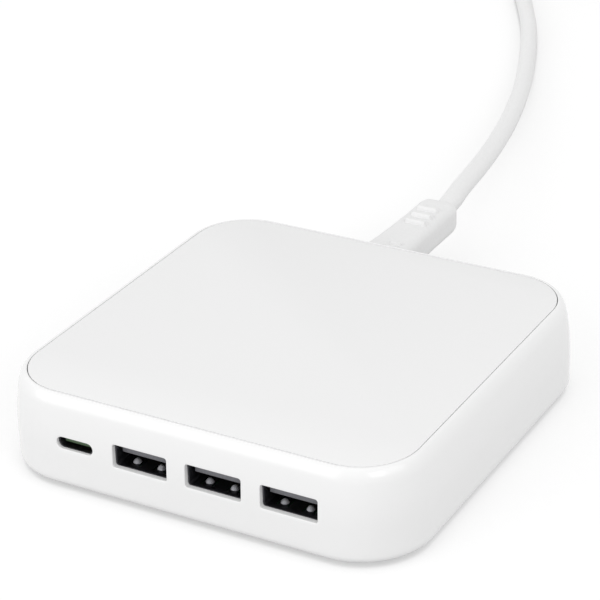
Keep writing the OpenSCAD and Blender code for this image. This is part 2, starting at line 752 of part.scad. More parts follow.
// Round tube swept along a list of points, square to given directions at its two ends
CORD_SIDES = 10;
function unit(v) = v / norm(v);
function heading(p, i, first, last) = i == 0 ? unit(first)
    : i == len(p) - 1 ? unit(last) : unit(p[i + 1] - p[i - 1]);
module swept_tube(p, r, first, last) {
    skin([for (i = [0 : len(p) - 1])
        let (t = heading(p, i, first, last), a = unit(cross([0, 0, 1], t)), b = cross(t, a))
        [for (k = [0 : CORD_SIDES - 1])
            p[i] + r * (cos(360 * k / CORD_SIDES) * a + sin(360 * k / CORD_SIDES) * b)]]);
}

module cord_run() { color("white") swept_tube(RUN, cord_r, [0, 1, 0], RUN_END); }

module cord_tail() { color("white") swept_tube(TAIL, cord_r, [1, 0, 0], TAIL_END); }

// Outer shape of the wound cord, two layers high, with the two ends that leave it
module cord_coil() {
    e = 1.6;
    h = 2 * layer_step;
    half = coil_half;
    outer = coil_mid_r + coil_half - cord_r;
    color("white") difference() {
        union() {
            translate([coil_c[0], coil_c[1], 0]) rotate_extrude($fn = 96) translate([coil_mid_r, 0])
                polygon([[-half + e, 0], [half - e, 0], [half, e], [half, h - e], [half - e, h],
                    [-half + e, h], [-half, h - e], [-half, e]]);
            translate([coil_c[0], coil_c[1], 0]) {
                rotate([0, 0, coil_in_angle]) translate([outer, 0, cord_r]) rotate([-90, 0, 0])
                    cylinder(r = cord_r, h = stub_len, $fn = CORD_SIDES);
                rotate([0, 0, coil_out_angle]) translate([outer, 0, layer_step + cord_r])
                    rotate([90, 0, 0]) cylinder(r = cord_r, h = stub_len, $fn = CORD_SIDES);
            }
        }
        tie_place() cube([2 * coil_half + 4, tie_w + 0.4, 2 * tie_t], center = true);
    }
}

tie_w = 9;
tie_t = 0.8;
tie_angle = 330;
module tie_place() {
    translate([coil_c[0], coil_c[1], 0]) rotate([0, 0, tie_angle]) translate([coil_mid_r, 0, 0]) children();
}

// Strap round the coil; its inner side stands off, because the ring curves across its width,
// and its top stands off, because the real turns rise over the strap that passes under them
module cord_tie() {
    inner = coil_half + 0.7;
    w = inner + coil_half + 0.1;
    h = tie_t + 2 * layer_step + 0.1;
    color("gray") tie_place() translate([-inner, -tie_w / 2, 0]) difference() {
        translate([-tie_t, 0, 0]) cube([w + 2 * tie_t, tie_w, h + tie_t]);
        translate([0, -1, tie_t]) cube([w, tie_w + 2, h - tie_t]);
    }
}

// Mains plug, lying on its broad side: stations from its pin face to the cord
PLUG = [[0, 17.2, 6.5, 5.4], [0.8, 17.6, 6.85, 5.8], [12, 17.6, 6.85, 5.8], [20, 15, 6.7, 5.8],
    [28, 9.6, 6.2, 5.6], [33, 6.6, 5.6, 5.2], [36, 5.2, 5, 4.8], [56, 3.3, 3.3, 3.2]];
plug_len = PLUG[len(PLUG) - 1][0];

// Moves a plug drawn with its cord end at plug_len on +Y so that this end meets the cord
module plug_place() {
    translate(plug_at) rotate([0, 0, plug_turn]) translate([0, -plug_len - EPS, 0]) children();
}

module mains_plug() {
    color("whitesmoke") plug_place() difference() {
        loft(PLUG);
        for (s = [-1, 1]) translate([s * plug_pin_pitch / 2, 0, 0])
            along_y(-1, 9) circle(r = plug_pin_r + 0.01);
    }
}

module mains_plug_pins() {
    color("silver") plug_place() for (s = [-1, 1]) translate([s * plug_pin_pitch / 2, 0, 0]) {
        along_y(1 - plug_pin_len, plug_pin_len + 7) circle(r = plug_pin_r);
        translate([0, 1 - plug_pin_len + EPS, 0]) rotate([90, 0, 0])
            cylinder(r1 = plug_pin_r, r2 = plug_pin_r - 0.8, h = 1 + EPS);
    }
}

housing();
top_cover();
rubber_feet();
main_board();
port_board();
riser_board();
board_header();
board_screws();
usb_a_shell(0);  // usb_a_shell_1
usb_a_shell(1);  // usb_a_shell_2
usb_a_shell(2);  // usb_a_shell_3
usb_a_insulator(0);  // usb_a_insulator_1
usb_a_insulator(1);  // usb_a_insulator_2
usb_a_insulator(2);  // usb_a_insulator_3
usb_a_contacts();
usb_c_shell();
usb_c_tongue();
usb_c_contacts();
inlet_body();
inlet_pins();
fuse();
x_capacitor();
y_capacitor();
choke_core();
choke_winding();
bridge_rectifier();
bulk_capacitors();
transformer_core();
transformer_bobbin();
transformer_winding();
heat_sink();
switching_transistors();
output_capacitors();
output_inductors();
controller_chips();
lead_connector();
connector_contacts();
cord_run();
cord_coil();
cord_tie();
cord_tail();
mains_plug();
mains_plug_pins();
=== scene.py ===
# %% [markdown]
# # A white desktop charger and its mains lead
#
# The charger is a low square box of moulded plastic: a glossy tub, a matt plate let into its top,
# a row of sockets in the front wall, and a mains lead plugged into the back. The engineering model
# gives every piece its real size and place. This lesson puts a fine surface and a real finish on
# each piece that shows, and never moves one.

# %% Load the engineering model as a fixed frame
import json
import math

import bmesh
import bpy
from mathutils import Matrix, Vector


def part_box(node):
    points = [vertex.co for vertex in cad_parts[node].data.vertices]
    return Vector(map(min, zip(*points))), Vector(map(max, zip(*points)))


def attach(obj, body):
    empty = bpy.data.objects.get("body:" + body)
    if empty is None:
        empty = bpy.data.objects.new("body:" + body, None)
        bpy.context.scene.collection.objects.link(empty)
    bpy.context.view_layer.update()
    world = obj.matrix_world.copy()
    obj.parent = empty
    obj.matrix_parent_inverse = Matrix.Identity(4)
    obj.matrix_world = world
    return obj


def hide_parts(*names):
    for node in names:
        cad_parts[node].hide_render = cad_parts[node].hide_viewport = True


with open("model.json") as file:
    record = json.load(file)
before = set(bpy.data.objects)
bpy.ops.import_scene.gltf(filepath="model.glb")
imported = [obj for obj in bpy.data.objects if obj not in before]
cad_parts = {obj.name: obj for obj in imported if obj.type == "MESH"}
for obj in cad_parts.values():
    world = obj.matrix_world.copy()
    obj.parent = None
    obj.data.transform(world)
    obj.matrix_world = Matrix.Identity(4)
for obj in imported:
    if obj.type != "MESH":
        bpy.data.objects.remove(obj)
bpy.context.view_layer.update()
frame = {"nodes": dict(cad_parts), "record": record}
MM = 0.001
print("nodes in the frame:", len(frame["nodes"]))

# %% [markdown]
# ## The camera
#
# A product photographer stands well back with a long lens, so that the box keeps its shape. The
# camera below looks down at the front right corner. Its place is given as a direction, a distance
# and a point to aim at, because those can be measured on a picture, and then changed one at a time.

# %% Place the camera
AZIMUTH = math.radians(30.0)
ELEVATION = math.radians(27.0)
ROLL = math.radians(-1.86)
DISTANCE = 489.7 * MM
AIM_HEIGHT = 12 * MM
AIM_RIGHT = 0.6 * MM
AIM_UP = 15.7 * MM
SENSOR_MM = 36.0
IMAGE_PX = 600
FOCAL_PX = 2212
NEAREST, FARTHEST = 10 * MM, 20

flat = math.cos(ELEVATION)
to_camera = Vector((math.sin(AZIMUTH) * flat, -math.cos(AZIMUTH) * flat, math.sin(ELEVATION)))
level_right = Vector((0, 0, 1)).cross(to_camera).normalized()
level_up = to_camera.cross(level_right)
aim = Vector((0, 0, AIM_HEIGHT)) + AIM_RIGHT * level_right + AIM_UP * level_up
camera_right = math.cos(ROLL) * level_right + math.sin(ROLL) * level_up
camera_up = math.cos(ROLL) * level_up - math.sin(ROLL) * level_right

lens = bpy.data.cameras.new("product_camera")
lens.sensor_width = SENSOR_MM
lens.lens = FOCAL_PX * SENSOR_MM / IMAGE_PX
lens.clip_start = NEAREST
lens.clip_end = FARTHEST
camera = bpy.data.objects.new("product_camera", lens)
bpy.context.scene.collection.objects.link(camera)
bpy.context.scene.camera = camera
camera.matrix_world = Matrix.Translation(aim + DISTANCE * to_camera) @ Matrix(
    (camera_right, camera_up, to_camera)).transposed().to_4x4()
bpy.context.view_layer.update()
print("camera at, mm:", [round(c / MM, 1) for c in camera.matrix_world.translation])

# %% [markdown]
# ## The cord's route
#
# A mains cord is a fixed length of something springy. This one is 1.5 m long and 5.2 mm thick. It
# leaves the connector straight, sinks to the table under its own weight, and runs away to the left.
# What the camera does not see is wound up as for a shelf: two layers of turns that lie beside and
# on each other. A curve is the right tool, because its own line is the cord's centre line, so that
# its length can be measured before it is given a thickness.

# %% The stretch from the connector to the coil, and from the coil to the plug
CORD_R = 2.6
RUN = [(-8.4, 86.5, 11.7), (-9, 95, 11.8), (-11.3, 107, 11), (-13.7, 120, 9.7),
       (-16.8, 135, 8.1), (-19.8, 148, 6.9), (-23.3, 162, 5.7), (-27.4, 176.5, 4.7),
       (-32.1, 191.5, 3.8), (-37.2, 206, 3.1), (-42.6, 220, 2.7), (-48, 233.4, 2.6),
       (-53.6, 246, 2.6), (-59.7, 258, 2.6), (-66.2, 270, 2.6), (-72.8, 282, 2.6),
       (-79.1, 293.2, 2.6)]
TAIL = [(-35.2, 368.9, 7.8), (-26.5, 368.8, 6.7), (-18.1, 366.5, 5), (-10.2, 362.8, 3.5),
        (-3.1, 357.8, 2.8), (3.1, 351.6, 3.1), (8.1, 344.5, 4.8), (11.8, 336.6, 6.4),
        (14.5, 329.1, 6.85)]
print("points placed by hand:", len(RUN) + len(TAIL))

# %% The coil's measures
COIL_CENTRE = (-59.2, 332.6)
COIL_OUTER_R = 37.0
COIL_INNER_R = 20.5
TURNS_PER_LAYER = 19 / 6
POINTS_PER_TURN = 18
FIRST_ANGLE = 210
LAYER_Z = (CORD_R, 3 * CORD_R)
CLIMB_TURNS = 0.2
TIE_ANGLE = 330
TIE_T = 0.8
TIE_SLOPE = 2.2
print("turns in the coil:", round(2 * TURNS_PER_LAYER, 2))


# %% The coil, worked out turn by turn
def tie_lift(angle):
    """The strap passes under the turns, and lifts them there by up to its own thickness."""
    off = (angle - TIE_ANGLE + 180) % 360 - 180
    return TIE_T * max(0.0, math.cos(math.radians(min(90, abs(off) * TIE_SLOPE)))) ** 0.5


def coil_point(turn):
    """A point of the coil, a number of turns after the cord has reached it."""
    if turn <= TURNS_PER_LAYER:
        share = turn / TURNS_PER_LAYER
    else:
        share = 2 - turn / TURNS_PER_LAYER
    radius = COIL_OUTER_R + (COIL_INNER_R - COIL_OUTER_R) * share
    angle = FIRST_ANGLE - 360 * turn
    climb = min(1.0, max(0.0, (turn - TURNS_PER_LAYER) / CLIMB_TURNS + 0.5))
    climb = climb * climb * (3 - 2 * climb)
    z = LAYER_Z[0] + (LAYER_Z[1] - LAYER_Z[0]) * climb + tie_lift(angle)
    return (COIL_CENTRE[0] + radius * math.cos(math.radians(angle)),
            COIL_CENTRE[1] + radius * math.sin(math.radians(angle)), z)


coil_steps = round(2 * TURNS_PER_LAYER * POINTS_PER_TURN)
COIL = [coil_point(2 * TURNS_PER_LAYER * k / coil_steps) for k in range(coil_steps + 1)]
route = RUN + COIL + TAIL
length = sum((Vector(b) - Vector(a)).length for a, b in zip(route, route[1:]))
print("route of", len(route), "points,", round(length, 1), "mm long")


# %% Turn the route into a round cord
CORD_SMOOTHNESS = 5


def make_cord(name, points, radius):
    """A smooth curve through points in millimetres, with a round section and closed ends."""
    data = bpy.data.curves.new(name, "CURVE")
    data.dimensions = "3D"
    data.bevel_depth = radius * MM
    data.bevel_resolution = CORD_SMOOTHNESS
    data.resolution_u = CORD_SMOOTHNESS
    data.use_fill_caps = True
    spline = data.splines.new("BEZIER")
    spline.bezier_points.add(len(points) - 1)
    for knot, point in zip(spline.bezier_points, points):
        knot.co = Vector(point) * MM
        knot.handle_left_type = "AUTO"
        knot.handle_right_type = "AUTO"
    cord = bpy.data.objects.new(name, data)
    bpy.context.scene.collection.objects.link(cord)
    return cord


mains_cord = make_cord("mains_cord", route, CORD_R)
print("cord:", 2 * CORD_R, "mm thick")

# %% [markdown]
# ## Colours and materials
#
# A colour picked from a screen is an sRGB hex value, but a renderer adds up light, which is linear.
# One function turns the first into the second. One more adds a shader node with its settings and
# its links. No moulded or rolled surface is quite even, so a third lays one fine pattern over a
# material, and that pattern rules its relief, its gloss and its colour together, as on a real one.

# %% Colours
def srgb(code):
    """A hex colour such as #f2f2f0 as linear red, green, blue and alpha."""
    parts = [int(code[i:i + 2], 16) / 255 for i in (1, 3, 5)]
    return [c / 12.92 if c <= 0.04045 else ((c + 0.055) / 1.055) ** 2.4 for c in parts] + [1.0]


print("mid grey is", round(srgb("#808080")[0], 3), "of full light")


# %% Add one node to a tree
def add_node(tree, kind, inputs=None, **settings):
    """Adds one node, sets what it is, and fills each input with a value or a link."""
    node = tree.nodes.new(kind)
    for name, value in settings.items():
        setattr(node, name, value)
    for name, value in (inputs or {}).items():
        if isinstance(value, bpy.types.NodeSocket):
            tree.links.new(value, node.inputs[name])
        else:
            node.inputs[name].default_value = value
    return node


# %% Start a material
def new_material(name, colour, roughness, **principled):
    """A material with one Principled shader, whose inputs are given by their names."""
    material = bpy.data.materials.new(name)
    material.use_nodes = True
    shader = material.node_tree.nodes["Principled BSDF"]
    shader.inputs["Base Color"].default_value = srgb(colour)
    shader.inputs["Roughness"].default_value = roughness
    for socket, value in principled.items():
        shader.inputs[socket.replace("_", " ")].default_value = value
    return material


# %% Lay a fine pattern over it
# A noise texture stays mostly between these two values
NOISE_LOW, NOISE_HIGH = 0.3, 0.7


def give_grain(material, size_mm, detail, depth_mm, strength, roughness=None, colours=None,
               stretch=None):
    """Spots about size_mm across, with relief and, where given, two roughnesses or colours."""
    tree = material.node_tree
    shader = tree.nodes["Principled BSDF"]
    place = add_node(tree, "ShaderNodeTexCoord").outputs["Object"]
    if stretch:
        place = add_node(tree, "ShaderNodeMapping", {
            "Vector": place, "Scale": stretch}).outputs["Vector"]
    spots = add_node(tree, "ShaderNodeTexNoise", {
        "Vector": place, "Scale": 1 / (size_mm * MM), "Detail": detail}).outputs["Fac"]
    bump = add_node(tree, "ShaderNodeBump", {
        "Height": spots, "Distance": depth_mm * MM, "Strength": strength})
    tree.links.new(bump.outputs["Normal"], shader.inputs["Normal"])
    if roughness:
        spread = add_node(tree, "ShaderNodeMapRange", {
            "Value": spots, "From Min": NOISE_LOW, "From Max": NOISE_HIGH,
            "To Min": roughness[0], "To Max": roughness[1]})
        tree.links.new(spread.outputs["Result"], shader.inputs["Roughness"])
    if colours:
        ramp = add_node(tree, "ShaderNodeValToRGB", {"Fac": spots})
        ends = ramp.color_ramp.elements
        for end, position, code in zip(ends, (NOISE_LOW, NOISE_HIGH), colours):
            end.position = position
            end.color = srgb(code)
        tree.links.new(ramp.outputs["Color"], shader.inputs["Base Color"])


# %% [markdown]
# ## White plastics
#
# The tub is ABS moulded against a polished steel tool, so it is glossy, with the faint waviness
# that plastic takes as it shrinks. The plate in its top comes from a spark-eroded tool: thousands
# of tiny craters break up the reflection and make it matt. The lead is soft PVC, which is satin.

# %% Moulded ABS, glossy and matt, and soft PVC
def polished_abs():
    """Shallow waves, 6 mm long, bend the reflection of a lamp a little, and no more."""
    material = new_material("polished_abs", "#f2f2f2", roughness=0.16, IOR=1.53)
    give_grain(material, size_mm=6, detail=1.0, depth_mm=0.01, strength=0.5,
               roughness=(0.13, 0.2))
    return material


def spark_eroded_abs():
    """Tiny craters scatter every reflection, so the plate shows one even pale grey."""
    # The real craters are 0.05 mm wide. They are drawn at 0.22 mm, the least that a render shows.
    material = new_material("spark_eroded_abs", "#efefef", roughness=0.62, IOR=1.53)
    give_grain(material, size_mm=0.22, detail=3.0, depth_mm=0.004, strength=0.4,
               colours=("#eeeeee", "#f0f0f0"))
    return material


def satin_pvc(name, dark, light):
    """A skin drawn smooth or moulded fine: soft highlights, and none of them sharp."""
    material = new_material(name, dark, roughness=0.42, IOR=1.52)
    give_grain(material, size_mm=0.8, detail=3.0, depth_mm=0.012, strength=0.5,
               roughness=(0.38, 0.48), colours=(dark, light))
    return material


TUB_PLASTIC = polished_abs()
PLATE_PLASTIC = spark_eroded_abs()
CORD_PVC = satin_pvc("extruded_pvc", "#ececec", "#f0f0f0")
MOULDED_PVC = satin_pvc("moulded_pvc", "#e9e9e9", "#ededed")
mains_cord.data.materials.append(CORD_PVC)
print("white plastics:", [m.name for m in (TUB_PLASTIC, PLATE_PLASTIC, CORD_PVC, MOULDED_PVC)])

# %% [markdown]
# ## Metals and dark plastics
#
# The sockets are folded from thin steel sheet with a dull nickel plate. Light hardly gets into
# them, so they read as nearly black. Their spring domes get a paler, rough copy of that steel,
# which is a painted highlight where some light catches them. The contacts are plated with
# gold, the plug's pins with bright nickel. What lies inside the tub does not show, but it gets its
# real finish too, for whoever takes the plate off.

# %% Metals
# Streaks of rolled sheet are twenty times longer along Y than across
STREAKS = (1.0, 0.05, 1.0)
# How far the roughness of a surface wanders up and down
ROUGHER, FINER = 0.08, 0.06


def plated_metal(name, colour, roughness, streak_mm):
    """Rolled or drawn metal, whose fine streaks blur a reflection along one direction."""
    material = new_material(name, colour, roughness, Metallic=1.0)
    give_grain(material, streak_mm, detail=2.0, depth_mm=0.003, strength=0.4,
               roughness=(roughness - FINER, roughness + ROUGHER), stretch=STREAKS)
    return material


# Dull nickel is dark, with a soft sheen. The pale, rough steel of the spring domes is a painted
# highlight.
SOCKET_STEEL = plated_metal("dull_nickel_plated_steel", "#55555a", 0.38, 0.3)
SPRING_HIGHLIGHT_STEEL = plated_metal("spring_steel_painted_highlight", "#b0b0b4", 0.8, 0.3)
# Zinc is a blurred pale grey. Gold is warm and clean, and bright nickel almost a mirror.
SCREW_STEEL = plated_metal("zinc_plated_steel", "#c4c4c2", 0.35, 0.4)
CONTACT_GOLD = plated_metal("gold_plated_bronze", "#d9b867", 0.3, 0.2)
PIN_NICKEL = plated_metal("bright_nickel_plated_brass", "#d5d3cf", 0.18, 0.3)
# Rolled aluminium has broad streaks. Drawn aluminium is brighter. Enamel makes copper redder.
SINK_ALUMINIUM = plated_metal("bent_aluminium_sheet", "#d2d3d4", 0.4, 0.5)
CAN_ALUMINIUM = plated_metal("drawn_aluminium", "#dcdddd", 0.3, 0.5)
WINDING_COPPER = plated_metal("enamelled_copper_wire", "#b0683a", 0.3, 0.6)
print("materials so far:", len(bpy.data.materials))


# %% Plastics, rubber, ceramics and cloth
def moulded(name, dark, light, roughness, grain_mm=0.6, depth_mm=0.01):
    """A moulded, dipped or woven surface, mottled between two close colours."""
    material = new_material(name, dark, roughness)
    give_grain(material, grain_mm, detail=3.0, depth_mm=depth_mm, strength=0.6,
               roughness=(roughness - FINER, roughness + FINER), colours=(dark, light))
    return material


# The insulators are matt, so each shows as a dim flat shape in its dark socket
SOCKET_PLASTIC = moulded("thermoplastic_grey", "#68686c", "#727277", 0.5)
USB_C_PLASTIC = moulded("thermoplastic_green", "#3c5239", "#465e42", 0.45)
BLACK_NYLON = moulded("black_nylon", "#161617", "#1f1f20", 0.55)
# Silicone has no shine at all. Solder mask is a glossy lacquer over a coarse weave.
FOOT_RUBBER = moulded("silicone_rubber", "#c9c9c8", "#d2d2d1", 0.7, 0.5, 0.02)
BOARD_LAMINATE = moulded("solder_mask_on_glass_epoxy", "#0f4526", "#15532f", 0.35, 2.0)
# Glaze and dipped resin flow before they set, so their highlights are sharp and a little wavy
FUSE_CERAMIC = moulded("glazed_ceramic", "#e4e0d4", "#ece9df", 0.3, 1.5)
FILM_CASE = moulded("flame_retardant_resin", "#caa63a", "#d4b147", 0.4, 1.0)
DIPPED_EPOXY = moulded("dipped_epoxy", "#2c4f9c", "#345aa8", 0.3, 1.0)
# Sintered ferrite is grainy and dull. Shrunk sleeve and tape are taut films with a sheen.
FERRITE = moulded("sintered_ferrite", "#2e2e30", "#3c3c3f", 0.6, 0.3, 0.02)
SLEEVE_PVC = moulded("shrunk_pvc_sleeve", "#202029", "#292933", 0.35, 1.5)
WINDING_TAPE = moulded("polyester_tape", "#d3bc55", "#dcc766", 0.35, 1.2)
# Woven cloth swallows highlights, and its threads are deep enough to shade each other
TIE_CLOTH = moulded("woven_hook_and_loop_strap", "#8a8a8a", "#9b9b9b", 0.85, 0.35, 0.05)
print("materials:", len(bpy.data.materials))

# %% A material for every slot of the record
MATERIAL_OF_SLOT = {
    "housing_gloss": TUB_PLASTIC, "cover_matte": PLATE_PLASTIC, "foot_rubber": FOOT_RUBBER,
    "circuit_board": BOARD_LAMINATE, "black_plastic": BLACK_NYLON, "screw_steel": SCREW_STEEL,
    "port_steel": SOCKET_STEEL, "port_insulator": SOCKET_PLASTIC,
    "usb_c_insulator": USB_C_PLASTIC, "contact_gold": CONTACT_GOLD, "pin_nickel": PIN_NICKEL,
    "fuse_ceramic": FUSE_CERAMIC, "film_capacitor": FILM_CASE, "disc_capacitor": DIPPED_EPOXY,
    "ferrite": FERRITE, "copper_winding": WINDING_COPPER, "capacitor_sleeve": SLEEVE_PVC,
    "winding_tape": WINDING_TAPE, "sink_aluminium": SINK_ALUMINIUM,
    "capacitor_can": CAN_ALUMINIUM, "lead_moulding": MOULDED_PVC, "cord_jacket": CORD_PVC,
    "tie_strap": TIE_CLOTH}
slot_of_node = {part["node"]: part["material_slot"] for part in frame["record"]["subparts"]}
for node_name, node_object in frame["nodes"].items():
    node_object.data.materials.clear()
    node_object.data.materials.append(MATERIAL_OF_SLOT[slot_of_node[node_name]])
print("materials on", len(slot_of_node), "engineering nodes")

# %% [markdown]
# ## Building a surface from rings
#
# Many moulded pieces are a stack of rounded rectangles, each a little larger or smaller than the
# last. So one helper makes such a ring, and another joins a stack of rings into a closed skin. The
# rings are close together where the surface turns fast, and reflections then run smoothly over it.

# %% Build a mesh
def add_piece(name, points, faces, material):
    """A mesh piece from points in millimetres."""
    mesh = bpy.data.meshes.new(name)
    mesh.from_pydata([Vector(p) * MM for p in points], [], faces)
    mesh.materials.append(material)
    piece = bpy.data.objects.new(name, mesh)
    bpy.context.scene.collection.objects.link(piece)
    return piece


def skin_over(rings):
    """Faces that join equal rings into one closed skin, and cap both ends."""
    size = len(rings[0])
    faces = []
    for row in range(len(rings) - 1):
        for k in range(size):
            j = (k + 1) % size
            faces.append((row * size + k, row * size + j,
                          (row + 1) * size + j, (row + 1) * size + k))
    faces.append(tuple(reversed(range(size))))
    faces.append(tuple((len(rings) - 1) * size + k for k in range(size)))
    return faces


# %% Finish a mesh
SAME_POINT_M = 1e-7
CREASE_DEG = 32


def turn_outwards(mesh):
    """Recalculates which way the faces of a closed mesh look."""
    work = bmesh.new()
    work.from_mesh(mesh)
    bmesh.ops.remove_doubles(work, verts=work.verts, dist=SAME_POINT_M)
    bmesh.ops.recalc_face_normals(work, faces=work.faces)
    work.to_mesh(mesh)
    work.free()


def smooth(piece, degrees=CREASE_DEG):
    """Smooth shading, with edges that turn by more than the angle left crisp."""
    piece.data.shade_smooth()
    piece.data.set_sharp_from_angle(angle=math.radians(degrees))


def settle(piece):
    """Turns a piece's modifiers into plain mesh and removes them."""
    graph = bpy.context.evaluated_depsgraph_get()
    mesh = bpy.data.meshes.new_from_object(
        piece.evaluated_get(graph), preserve_all_data_layers=True, depsgraph=graph)
    piece.modifiers.clear()
    piece.data = mesh


# %% One ring
def rounded_ring(half_w, half_d, radius, corner_steps, side_steps=1):
    """A rounded rectangle as points, counter-clockwise, with spare points along its sides."""
    points = []
    for quarter in range(4):
        sx = 1 if quarter in (0, 3) else -1
        sy = 1 if quarter < 2 else -1
        for step in range(corner_steps + 1):
            angle = math.radians(90 * (quarter + step / corner_steps))
            points.append((sx * (half_w - radius) + radius * math.cos(angle),
                           sy * (half_d - radius) + radius * math.sin(angle)))
        start = points[-1]
        flip = 90 * (quarter + 1)
        side = Vector((math.cos(math.radians(flip + 90)), math.sin(math.radians(flip + 90))))
        run = 2 * ((half_w - radius) if quarter % 2 == 0 else (half_d - radius))
        for step in range(1, side_steps):
            points.append((start[0] + side.x * run * step / side_steps,
                           start[1] + side.y * run * step / side_steps))
    return points


print("points in a ring with 4 steps to a corner:", len(rounded_ring(2, 2, 1, 4)))

# %% [markdown]
# ## The tub
#
# The wall stands straight at the bottom and leans in towards the top, rolls over at the rim and
# stops at the seam. That profile is one formula of the height, the same on all four sides, so the
# tub is a stack of rounded squares whose inset follows it. The stack goes on over the rim, down
# into the seam, round the ledge that carries the plate and down the inside, which gives the wall
# its real thickness where a socket mouth is cut through it. The roll of the rim is wide and soft,
# because that is what carries the long highlight under the seam.

# %% Measures of the tub
tub_low, tub_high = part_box("housing")
HALF = (tub_high.x - tub_low.x) / 2 / MM
BASE_Z = tub_low.z / MM
RIM_Z = tub_high.z / MM
SHELL_H = RIM_Z - BASE_Z
CORNER_R = 16
WALL, FLOOR_T = 2.3, 2
FLOOR_Z = BASE_Z + FLOOR_T
# The lean at the rim, and the height where it starts
BOW, BOW_START = 1.6, 8
# How far each round goes in, and how high it is
RIM_ROUND = (1.1, 3.0)
BASE_ROUND = (1.3, 1.8)
# Insets are measured from the foot of the wall
SEAM_IN, LEDGE_IN = 3.0, 3.9
SEAM_EDGE = 0.05
SEAT_DEPTH, LEDGE_DEPTH = 1.8, 3.4
SEAT_Z, LEDGE_Z = RIM_Z - SEAT_DEPTH, RIM_Z - LEDGE_DEPTH
CORNER_STEPS, SIDE_STEPS, WALL_STEPS = 20, 60, 20
BASE_ANGLES, RIM_ANGLES = range(0, 91, 10), range(0, 91, 5)
EDGE_ANGLES = (0, 30, 60, 90)
print("tub: %.1f mm square, %.1f mm high" % (2 * HALF, SHELL_H))


# %% The lean and the rounds, by height
def lean(height):
    """How far the wall leans in at a height above its base."""
    rise = max(0, height - BOW_START) / (SHELL_H - BOW_START)
    return BOW * rise ** 2


def wall_inset(height):
    """Inset of the outer face: the lean, the rolled rim and the rounded base."""
    rim = max(0, 1 - (SHELL_H - height) / RIM_ROUND[1])
    base = max(0, 1 - height / BASE_ROUND[1])
    return (lean(height) + RIM_ROUND[0] * (1 - math.sqrt(1 - min(1, rim) ** 2))
            + BASE_ROUND[0] * (1 - math.sqrt(1 - min(1, base) ** 2)))


# %% The tub's profile, from the base up the outside, over the rim and down the inside
heights = [BASE_ROUND[1] * (1 - math.cos(math.radians(a))) for a in BASE_ANGLES]
wall_top = SHELL_H - RIM_ROUND[1]
heights += [BASE_ROUND[1] + (wall_top - BASE_ROUND[1]) * k / WALL_STEPS
            for k in range(1, WALL_STEPS)]
heights += [wall_top + RIM_ROUND[1] * math.sin(math.radians(a)) for a in RIM_ANGLES]
profile = [(wall_inset(h), BASE_Z + h) for h in heights]
profile += [(SEAM_IN - SEAM_EDGE * math.cos(math.radians(a)),
             RIM_Z - SEAM_EDGE * (1 - math.sin(math.radians(90 - a)))) for a in EDGE_ANGLES]
profile += [(SEAM_IN, SEAT_Z), (LEDGE_IN, SEAT_Z), (LEDGE_IN, LEDGE_Z), (WALL, LEDGE_Z),
            (WALL, FLOOR_Z)]


def stack_of_squares(rows):
    """Rings of a rounded square, one for each (inset, height)."""
    rings = []
    for inset, z in rows:
        half = HALF - inset
        outline = rounded_ring(half, half, CORNER_R - inset, CORNER_STEPS, SIDE_STEPS)
        rings.append([(x, y, z) for x, y in outline])
    return rings


tub_rings = stack_of_squares(profile)
tub = add_piece("charger_tub", [p for ring in tub_rings for p in ring], skin_over(tub_rings),
                TUB_PLASTIC)
turn_outwards(tub.data)
print("tub:", len(tub.data.vertices), "points in", len(tub_rings), "rings")

# %% [markdown]
# ## Mouths in the walls
#
# A mouth is cut with a plug-shaped cutter and a Boolean modifier. Behind each socket's mouth the
# wall is pocketed from inside, so that only a thin lip stands in front of the steel. Moulded edges
# are never knife sharp, so the cutter flares out over its last fraction of a millimetre, and that
# flare follows the lean of the wall.

# %% Places of the mouths, from the frame, and their outlines
def middle_of(node):
    """Place across and height of the middle of an engineering node, in millimetres."""
    node_low, node_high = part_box(node)
    middle = (node_low + node_high) / 2 / MM
    return round(middle.x, 2), round(middle.z, 2)


USB_A_AT = [middle_of("usb_a_shell_%d" % number) for number in (1, 2, 3)]
USB_C_AT = middle_of("usb_c_shell")
INLET_AT = middle_of("inlet_body")
# Each outline is a width, a height and a corner radius
USB_A_MOUTH, USB_A_POCKET, USB_A_LIP = (13.2, 5.3, 0.6), (13.3, 5.92, 0.9), 1.2
USB_C_MOUTH, USB_C_POCKET, USB_C_LIP = (9.0, 2.7, 1.34), (9.14, 3.36, 1.67), 0.8
INLET_MOUTH = (19.5, 11.5, 5.74)
print("mouths at", USB_A_AT, USB_C_AT, INLET_AT)

# %% Cutters with a pocket and a flared lip
# The round of a mouth's edge, and where it is measured
ROUND = 0.2
ROUND_ANGLES = (20, 40, 60, 70)
# How far a cutter goes on behind the wall, in front of it, and how much it widens there
PAST_WALL, PAST_FACE, WIDEN = 1.2, 0.3, 0.8
MOUTH_CORNER_STEPS, CIRCLE_STEPS = 6, 48


def mouth_cutter(centre, mouth, pocket, lip, side):
    """Rings of a cutter through the front wall (side -1) or the back wall (side 1)."""
    rows = [(WALL + PAST_WALL, 0.0, pocket), (lip, 0.0, pocket), (lip, 0.0, mouth),
            (ROUND, 0.0, mouth)]
    for a in ROUND_ANGLES:
        t = math.radians(a)
        rows.append((ROUND * (1 - math.sin(t)), ROUND * (1 - math.cos(t)), mouth))
    rows.append((-PAST_FACE, rows[-1][1] + WIDEN, mouth))
    rings = []
    for depth, flare, (width, height, radius) in rows:
        ring = []
        for x, z in rounded_ring(width / 2 + flare, height / 2 + flare, radius + flare,
                                 MOUTH_CORNER_STEPS):
            tilt = lean(centre[1] + z - BASE_Z) if depth <= ROUND else 0
            ring.append((centre[0] + x, side * (HALF - tilt - depth), centre[1] + z))
        rings.append(ring)
    return rings


